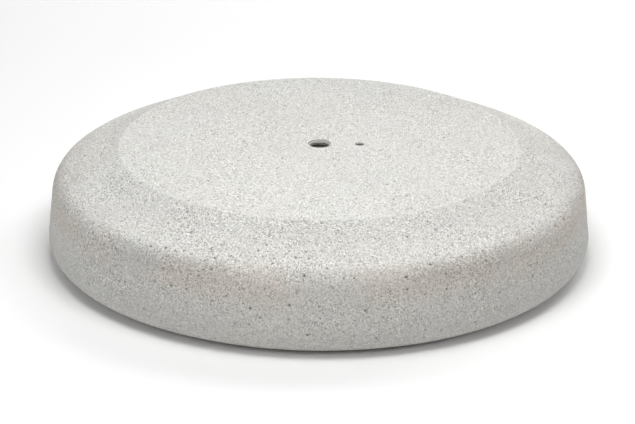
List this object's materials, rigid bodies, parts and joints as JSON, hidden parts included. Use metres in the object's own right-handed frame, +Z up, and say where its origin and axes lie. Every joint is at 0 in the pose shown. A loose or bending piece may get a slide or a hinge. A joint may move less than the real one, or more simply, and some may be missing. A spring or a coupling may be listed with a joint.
{
  "type": "parasol base",
  "caption": "Round cast concrete parasol base with a flat top, a sloping shoulder, a central threaded socket for the pole, a locating hole beside it and rubber feet.",
  "frame": {"origin": "on the casting's vertical axis, in the plane that the four feet stand on", "axes": "+Z up along the casting's axis, +X from the pole socket towards the locating hole"},
  "size_m": [0.5498, 0.5498, 0.11],
  "materials": {
    "concrete": "pale grey cast concrete with a fine sandy grain, small air holes and dark and light specks",
    "zinc_plated_steel": "zinc-plated, dull",
    "rebar_steel": "hot-rolled, lightly rusted",
    "black_rubber": "matt moulded rubber",
    "grey_nylon": "moulded nylon"
  },
  "bodies": {
    "root": {"concrete_body": "concrete", "threaded_socket": "zinc_plated_steel", "locating_sleeve": "grey_nylon", "anchor_plate": "zinc_plated_steel", "rebar_ring": "rebar_steel", "rebar_lower_front": "rebar_steel", "rebar_lower_back": "rebar_steel", "rebar_upper_left": "rebar_steel", "rebar_upper_right": "rebar_steel", "foot_pad_1": "black_rubber", "foot_pad_2": "black_rubber", "foot_pad_3": "black_rubber", "foot_pad_4": "black_rubber", "foot_washer_1": "zinc_plated_steel", "foot_washer_2": "zinc_plated_steel", "foot_washer_3": "zinc_plated_steel", "foot_washer_4": "zinc_plated_steel", "foot_screw_1": "zinc_plated_steel", "foot_screw_2": "zinc_plated_steel", "foot_screw_3": "zinc_plated_steel", "foot_screw_4": "zinc_plated_steel", "foot_dowel_1": "grey_nylon", "foot_dowel_2": "grey_nylon", "foot_dowel_3": "grey_nylon", "foot_dowel_4": "grey_nylon"}
  },
  "joints": []
}
